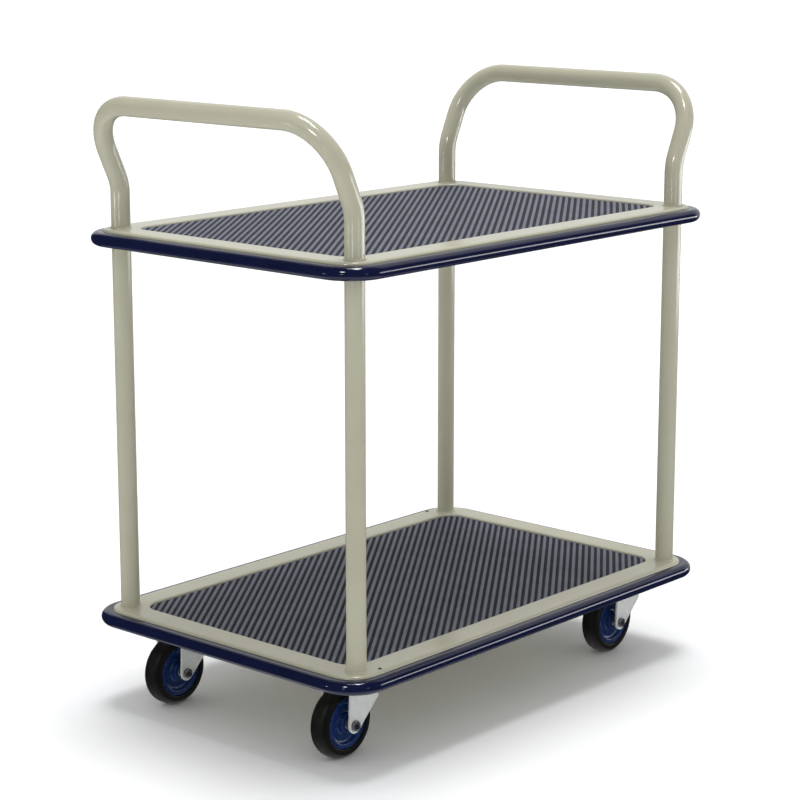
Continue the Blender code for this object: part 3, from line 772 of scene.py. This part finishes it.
def fork_mesh():
    """Bent sheet fork: pressed panel and axle dimple in each leg, lower race on the crown."""
    foot_z = WHEEL_RADIUS - 2 * FORK_FOOT
    shoulder_y, shoulder_z = FORK_OUTER - FORK_BEND, CROWN_TOP - FORK_BEND
    inner_bend = FORK_BEND - FORK_SHEET
    section = [(-FORK_OUTER, foot_z)] + arc(-shoulder_y, shoulder_z, FORK_BEND, 180, 90, 6)
    section += arc(shoulder_y, shoulder_z, FORK_BEND, 90, 0, 6)
    section += [(FORK_OUTER, foot_z), (FORK_INNER, foot_z)]
    section += arc(shoulder_y, shoulder_z, inner_bend, 0, 90, 3)
    section += arc(-shoulder_y, shoulder_z, inner_bend, 90, 180, 3) + [(-FORK_INNER, foot_z)]
    margin = 0.004
    ends = (-TRAIL - FORK_FOOT - margin, FORK_HALF_LENGTH + margin)
    rings = [[(x, y, z) for y, z in section] for x in ends]
    fork = new_object("fork_blank", mesh_from_rings("fork", rings))
    reach = FORK_OUTER + margin
    cut(fork, [leg_prism("legs", 0.0, CROWN_TOP + margin, -reach, reach)], "INTERSECT")
    axle = (-TRAIL, WHEEL_RADIUS)
    panel_top = CROWN_TOP - 0.006
    cutters = []
    for sign in (-1, 1):
        panel_y = sorted((sign * (FORK_OUTER - PANEL_DEPTH), sign * reach))
        cutters.append(leg_prism(f"panel_{sign}", PANEL_INSET, panel_top, *panel_y))
        dimple_y = sorted((sign * (FORK_OUTER - DIMPLE_DEPTH), sign * reach))
        cutters.append(cylinder(f"dimple_{sign}", DIMPLE_RADIUS, *dimple_y, 40, axle, True))
    cutters.append(cylinder("axle_hole", BOLT_RADIUS + AIR, -reach, reach, 32, axle, True))
    cut(fork, cutters)
    race = [(0.022, CROWN_TOP - SHEET / 2), (RACE_NECK, CROWN_TOP + 0.0008)]
    race_top = RACE_SEAM_Z - 2 * AIR
    race += arc(RACE_RADIUS - RACE_ROUNDING, race_top - RACE_ROUNDING, RACE_ROUNDING, -40, 90, 8)
    cut(fork, [new_object("race", turned("race", race, 64))], "UNION")
    cut(fork, [cylinder("pin_hole", PIN_HOLE_RADIUS, CROWN_TOP - 0.01, RACE_SEAM_Z + 0.01, 32)])
    refine(fork, FORK_ROUNDING, angle=40)
    return take_mesh(fork)


def plate_mesh():
    """Caster top plate with bolt holes and the upper race pressed down from it."""
    bottom = PLATE_TOP - PLATE_THICKNESS
    half_x, half_y = (plate_high.x - plate_low.x) / 2, (plate_high.y - plate_low.y) / 2
    outline = rounded_rectangle(half_x, half_y, PLATE_CORNER, 8)
    plate = new_object("plate_blank", prism("plate", outline, bottom, PLATE_TOP))
    race = arc(RACE_RADIUS - RACE_ROUNDING, RACE_SEAM_Z + RACE_ROUNDING, RACE_ROUNDING, -90, 30, 8)
    race += [(RACE_NECK, bottom - 0.004), (0.0215, bottom - 0.0015), (RACE_NECK, bottom + SHEET / 2)]
    cut(plate, [new_object("race", turned("race", race, 64))], "UNION")
    margin = 0.01
    cutters = []
    for place, sign_x, sign_y in post_places():
        center = (sign_x * PLATE_HOLE_X, sign_y * PLATE_HOLE_Y)
        low, high = bottom - margin, PLATE_TOP + margin
        cutters.append(cylinder(f"hole_{place}", PLATE_HOLE_RADIUS, low, high, 24, center))
    cutters.append(cylinder("pin_hole", PIN_HOLE_RADIUS, RACE_SEAM_Z - margin, PLATE_TOP + margin, 32))
    cut(plate, cutters)
    refine(plate, FORK_ROUNDING, angle=40)
    return take_mesh(plate)


def kingpin_mesh():
    """Rivet with a low domed head under the fork's crown."""
    head_top = CROWN_TOP - FORK_SHEET - AIR
    near_axis = 0.0001
    profile = [(near_axis, head_top - PIN_HEAD_HEIGHT)]
    profile += arc(0.0, head_top, PIN_HEAD_RADIUS, -80, 0, 10, PIN_HEAD_HEIGHT)
    profile += [(PIN_RADIUS, head_top), (PIN_RADIUS, PLATE_TOP - AIR)]
    return shade(turned("kingpin", profile, 40), 40)


def hex_rings(low, high, chamfer_low, chamfer_high):
    """Rings of a hexagon whose corners are cut by a cone at each chamfered end."""
    half = HEX_FLATS / 2
    corner = half / cos(pi / 6)
    slope = tan(radians(30))
    depth = (corner - half) * slope
    heights = []
    for end, inward, chamfered in ((low, 1, chamfer_low), (high, -1, chamfer_high)):
        if chamfered:
            stops = [end + inward * depth * i / 4 for i in range(5)]
            heights.append([(z, half + abs(z - end) / slope) for z in stops])
        else:
            heights.append([(end, corner)])
    levels = heights[0] + list(reversed(heights[1]))
    rings = []
    for z, limit in levels:
        ring = []
        for i in range(HEX_STEPS):
            angle = 2 * pi * i / HEX_STEPS
            flat_radius = half / cos((angle + pi / 6) % (pi / 3) - pi / 6)
            radius = min(flat_radius, limit)
            ring.append((radius * cos(angle), radius * sin(angle), z))
        rings.append(ring)
    return rings


def stack(name, rings, along_y=False):
    """A turned or hexagonal solid from its rings, capped at both ends."""
    if along_y:
        rings = [[(x, z, y) for x, y, z in ring] for ring in rings]
    return shade(mesh_from_rings(name, rings), 30)


def threaded_rings(low, high, steps=HEX_STEPS):
    """Rings of a threaded shank: each ring's radius follows the thread around and along it."""
    rings = []
    count = max(8, int((high - low) / THREAD_PITCH * 6))
    for i in range(count + 1):
        z = low + (high - low) * i / count
        ring = []
        for k in range(steps):
            angle = 2 * pi * k / steps
            phase = (z / THREAD_PITCH - k / steps) % 1.0
            local = BOLT_RADIUS - THREAD_DEPTH * abs(2 * phase - 1)
            ring.append((local * cos(angle), local * sin(angle), z))
        rings.append(ring)
    return rings


def bolt_mesh():
    """Axle bolt: flanged and dished hex head on the back leg, thread through the nut on the front leg."""
    flange, flange_radius = 0.0005, 0.0068
    thread_end = -BOLT_FACE - 0.002
    end = BOLT_FACE + BOLT_HEAD_HEIGHT
    rings = threaded_rings(BOLT_END_Y, thread_end)
    rounds = [(BOLT_RADIUS, -BOLT_FACE), (BOLT_RADIUS, BOLT_FACE), (flange_radius, BOLT_FACE),
              (flange_radius, BOLT_FACE + flange)]
    rings += [circle(radius, y, HEX_STEPS) for radius, y in rounds]
    rings += hex_rings(BOLT_FACE + flange, end, False, True)
    for inset, sunk in ((0.0012, 0.0), (0.0018, 0.0004)):
        rings.append(circle(HEX_FLATS / 2 - inset, end - sunk, HEX_STEPS))
    return stack("axle_bolt", rings, along_y=True)


def nut_mesh():
    """Lock nut with chamfered corners, bored for the bolt."""
    end = BOLT_FACE + AXLE_NUT_HEIGHT
    rings = [circle(0.0062, -end, HEX_STEPS)]
    rings += hex_rings(-end, -BOLT_FACE, True, True)
    nut = new_object("nut_blank", stack("axle_nut", rings, along_y=True))
    cut(nut, [cylinder("bore", BOLT_RADIUS + 0.00005, -end - 0.01, 0.0, 40, along_y=True)])
    shade(nut.data, 30)
    return take_mesh(nut)


def core_mesh():
    """Moulded wheel centre: hub, dished web and stepped rim, with round inner corners."""
    bore = SLEEVE_RADIUS + AIR
    web = 0.0068
    rim = CORE_RADIUS - 0.0055
    edge, hub_rounding, fillet, rim_rounding = 0.0005, 0.001, 0.0035, 0.0006
    face = [(bore, HUB_HALF_WIDTH - edge), (bore + edge, HUB_HALF_WIDTH)]
    face += arc(HUB_RADIUS - hub_rounding, HUB_HALF_WIDTH - hub_rounding, hub_rounding, 90, 0, 4)
    face += arc(HUB_RADIUS + 0.0045, web + fillet, fillet, 180, 270, 8)
    face += arc(rim - 0.0055, web + fillet, fillet, 270, 350, 8)
    face += arc(rim - 0.0002, CORE_HALF_WIDTH - 0.0015, 0.0012, 160, 90, 4)
    rim_face, groove = CORE_HALF_WIDTH - 0.0003, CORE_HALF_WIDTH - 0.0010
    face += [(rim + 0.0022, rim_face), (rim + 0.0025, groove)]
    face += [(rim + 0.0031, groove), (rim + 0.0034, rim_face)]
    face += arc(CORE_RADIUS - rim_rounding, CORE_HALF_WIDTH - rim_rounding, rim_rounding, 90, 0, 4)
    profile = face + [(radius, -y) for radius, y in reversed(face)]
    return shade(turned("wheel_core", profile, 96, along_y=True, closed=True), 40)


def tyre_mesh():
    """Solid rubber tyre: bead, flat wall, round shoulder and a fine mould line around the tread."""
    half = TYRE_HALF_WIDTH
    face = [(CORE_RADIUS + AIR, CORE_HALF_WIDTH)]
    face += arc(CORE_RADIUS + 0.0018, half - 0.0008, 0.0012, 160, 90, 4, 0.0008)
    face += [(CORE_RADIUS + 0.0040, half), (CORE_RADIUS + 0.0044, half - 0.0004)]
    shoulder, tread, mould_line = 0.0085, 0.0042, 0.0003
    face += arc(WHEEL_RADIUS - shoulder, tread, shoulder, 88, 0, 18, half - 0.0046)
    face += [(WHEEL_RADIUS, 0.0004), (WHEEL_RADIUS - mould_line, 0.0)]
    mirrored = [(radius, -y) for radius, y in reversed(face[:-1])]
    return shade(turned("tyre", face + mirrored, 128, along_y=True, closed=True), 35)


def sleeve_mesh():
    """Plain bush with broken edges."""
    bore = BOLT_RADIUS + AIR
    edge = 0.0004
    half = SLEEVE_HALF_WIDTH
    side = [(bore, half - edge), (bore + edge, half)]
    side += [(SLEEVE_RADIUS - edge, half), (SLEEVE_RADIUS, half - edge)]
    profile = side + [(radius, -y) for radius, y in reversed(side)]
    return shade(turned("axle_sleeve", profile, 48, along_y=True, closed=True))


def stud_mesh():
    """Threaded stud that hangs from the deck's floor through the plate."""
    return stack("stud", threaded_rings(PLATE_TOP - STUD_LENGTH, PLATE_TOP + AIR / 2, 32))


def stud_nut_mesh():
    top = PLATE_TOP - PLATE_THICKNESS - WASHER_THICKNESS
    return stack("stud_nut", hex_rings(top - STUD_NUT_HEIGHT, top, True, True))


def washer_mesh():
    top = PLATE_TOP - PLATE_THICKNESS
    bottom = top - WASHER_THICKNESS
    inner, edge = 0.0042, 0.0004
    profile = [(inner, top), (inner, bottom), (WASHER_RADIUS - edge, bottom)]
    profile += [(WASHER_RADIUS, bottom + edge), (WASHER_RADIUS, top)]
    return shade(turned("washer", profile, 48, closed=True))


def make_casters():
    swivel_pieces = {
        "fork": (fork_mesh(), "caster_fork", KINGPIN, None),
        "hex_bolt": (bolt_mesh(), "axle_bolt", AXLE, FASTENER_STEEL),
        "lock_nut": (nut_mesh(), "axle_nut", AXLE, FASTENER_STEEL),
    }
    wheel_pieces = {
        "wheel_centre": (core_mesh(), "wheel_core", "navy_plastic"),
        "rubber_tyre": (tyre_mesh(), "tyre", "tyre_rubber"),
        "bush": (sleeve_mesh(), "axle_sleeve", "sleeve_steel"),
    }
    fixed_pieces = {
        "top_plate": (plate_mesh(), "caster_plate"),
        "king_rivet": (kingpin_mesh(), "kingpin"),
    }
    fasteners = {"stud": stud_mesh(), "stud_nut": stud_nut_mesh(), "washer": washer_mesh()}
    for place in PLACES:
        foot = Vector((KINGPIN[place].x, KINGPIN[place].y, 0))
        for name, (mesh, node) in fixed_pieces.items():
            fit(new_object(f"{name}_{place}", mesh.copy(), foot), "trolley", "zinc", f"{node}_{place}")
        for name, (mesh, node, where, look) in swivel_pieces.items():
            spot = foot if where is KINGPIN else AXLE[place]
            piece = new_object(f"{name}_{place}", mesh.copy(), spot)
            fit(piece, f"swivel_{place}", "zinc", f"{node}_{place}", material=look)
        for name, (mesh, node, slot) in wheel_pieces.items():
            piece = new_object(f"{name}_{place}", mesh.copy(), AXLE[place])
            fit(piece, f"wheel_{place}", slot, f"{node}_{place}")
        for corner, sign_x, sign_y in post_places():
            spot = foot + Vector((sign_x * PLATE_HOLE_X, sign_y * PLATE_HOLE_Y, 0))
            for name, mesh in fasteners.items():
                fit(new_object(f"{name}_{place}_{corner}", mesh.copy(), spot), "trolley", "zinc")


# ---- stage: floor, light and camera ----
def make_floor():
    half = 60.0
    corners = [(-half, -half, 0), (half, -half, 0), (half, half, 0), (-half, half, 0)]
    mesh = bpy.data.meshes.new("floor")
    mesh.from_pydata(corners, [], [(0, 1, 2, 3)])
    floor = new_object("studio_floor", mesh)
    look = Finish("pale_floor")
    color = look.mix(look.noise(2.0), rgb(0.925, 0.93, 0.945), rgb(0.945, 0.95, 0.965))
    look.set(Base_Color=color, Roughness=0.9, Specular_IOR_Level=0.0)
    floor.data.materials.append(look.material)
    floor.visible_glossy = False


def add_light(name, kind, location, target, power):
    data = bpy.data.lights.new(name, kind)
    data.energy = power
    light = bpy.data.objects.new(name, data)
    bpy.context.scene.collection.objects.link(light)
    light.location = location
    light.rotation_euler = (Vector(target) - Vector(location)).to_track_quat("-Z", "Y").to_euler()
    return light


def gloss_light(name, location, target, width, height, power):
    """A softbox that shows only in the gloss."""
    light = add_light(name, "AREA", location, target, power)
    light.data.shape = "RECTANGLE"
    light.data.size = width
    light.data.size_y = height
    light.visible_diffuse = False


def around_camera(degrees_left, distance, height):
    """A place at that angle to the camera's left, seen from the trolley."""
    angle = CAMERA_YAW + pi - radians(degrees_left)
    return Vector((distance * cos(angle), distance * sin(angle), height))


class WorldNodes:
    """Short calls for the few nodes of the studio's world."""

    def __init__(self, world):
        self.nodes, self.links = world.node_tree.nodes, world.node_tree.links
        self.nodes.clear()
        self.direction = self.nodes.new("ShaderNodeTexCoord").outputs["Generated"]

    def along(self, axis):
        """How far the direction points along an axis, from -1 to 1."""
        product = self.nodes.new("ShaderNodeVectorMath")
        product.operation = "DOT_PRODUCT"
        self.links.new(self.direction, product.inputs[0])
        product.inputs[1].default_value = axis
        return product.outputs["Value"]

    def ramp(self, value, start, end, low, high, kind="SMOOTHSTEP"):
        ramp = self.nodes.new("ShaderNodeMapRange")
        ramp.interpolation_type = kind
        self.links.new(value, ramp.inputs["Value"])
        for key, number in {"From Min": start, "From Max": end, "To Min": low, "To Max": high}.items():
            ramp.inputs[key].default_value = number
        return ramp.outputs["Result"]

    def combine(self, operation, a, b):
        combined = self.nodes.new("ShaderNodeMath")
        combined.operation = operation
        self.links.new(a, combined.inputs[0])
        self.links.new(b, combined.inputs[1])
        return combined.outputs[0]

    def background(self, strength):
        background = self.nodes.new("ShaderNodeBackground")
        if isinstance(strength, bpy.types.NodeSocket):
            self.links.new(strength, background.inputs["Strength"])
        else:
            background.inputs["Strength"].default_value = strength
        return background.outputs[0]

    def choose(self, switch, if_off, if_on):
        mixer = self.nodes.new("ShaderNodeMixShader")
        for socket, source in zip(mixer.inputs, (switch, if_off, if_on)):
            self.links.new(source, socket)
        return mixer.outputs[0]


def make_world():
    """A white room: brighter fill from the left, and a mirror image that is dark behind the camera."""
    world = bpy.data.worlds.new("studio")
    bpy.context.scene.world = world
    world.use_nodes = True
    studio = WorldNodes(world)
    right = studio.along((sin(CAMERA_YAW), -cos(CAMERA_YAW), 0))
    up = studio.along((0, 0, 1))
    tilt = studio.ramp(right, -1, 1, 1 + ROOM_TILT, 1 - ROOM_TILT)
    height = studio.ramp(up, 0, 1, ROOM_LOW, ROOM_HIGH, "LINEAR")
    fill = studio.background(studio.combine("MULTIPLY", tilt, height))
    beyond = studio.along(MIRROR_AXIS)
    back_wall = studio.ramp(beyond, MIRROR_EDGE, MIRROR_EDGE + 0.2, MIRROR_DARK, MIRROR_BRIGHT)
    low_floor = studio.ramp(up, -0.75, -0.60, MIRROR_FLOOR, MIRROR_DARK)
    mirror = studio.background(studio.combine("MAXIMUM", back_wall, low_floor))
    path = studio.nodes.new("ShaderNodeLightPath")
    unseen = studio.choose(path.outputs["Is Glossy Ray"], fill, mirror)
    shown = studio.choose(path.outputs["Is Camera Ray"], unseen, studio.background(ROOM_SHOWN))
    output = studio.nodes.new("ShaderNodeOutputWorld")
    studio.links.new(shown, output.inputs["Surface"])


def make_lights():
    """A soft sun from above, and small lights that only show in the gloss."""
    make_world()
    sun = add_light("soft_sun", "SUN", SUN_FROM, (0, 0, 0), SUN_POWER)
    sun.data.angle = SUN_SPREAD
    for name, place, width, height, power in GLOSS_BOXES:
        gloss_light(name, place, HANDLE_AIM, width, height, power)
    for name, angle, width, height, power in LOW_LIGHTS:
        place = around_camera(angle, LOW_LIGHT_DISTANCE, LOW_LIGHT_HEIGHT)
        gloss_light(name, place, (0, 0, LOW_LIGHT_HEIGHT), width, height, power)


def make_camera():
    data = bpy.data.cameras.new("camera")
    data.lens = CAMERA_LENS
    data.sensor_width = 36.0
    data.clip_end = 200.0
    camera = bpy.data.objects.new("camera", data)
    bpy.context.scene.collection.objects.link(camera)
    level = Vector((cos(CAMERA_YAW), sin(CAMERA_YAW), 0))
    sideways = Vector((sin(CAMERA_YAW), -cos(CAMERA_YAW), 0))
    camera.location = -CAMERA_DISTANCE * level + CAMERA_SIDE * sideways + Vector((0, 0, CAMERA_HEIGHT))
    forward = level * cos(CAMERA_PITCH) - Vector((0, 0, sin(CAMERA_PITCH)))
    camera.rotation_euler = forward.to_track_quat("-Z", "Y").to_euler()
    bpy.context.scene.camera = camera


make_decks()
make_mats()
make_bumpers()
make_handles()
make_post_fittings()
make_channels()
make_casters()
make_floor()
make_lights()
make_camera()
bpy.context.scene.view_settings.view_transform = "Standard"
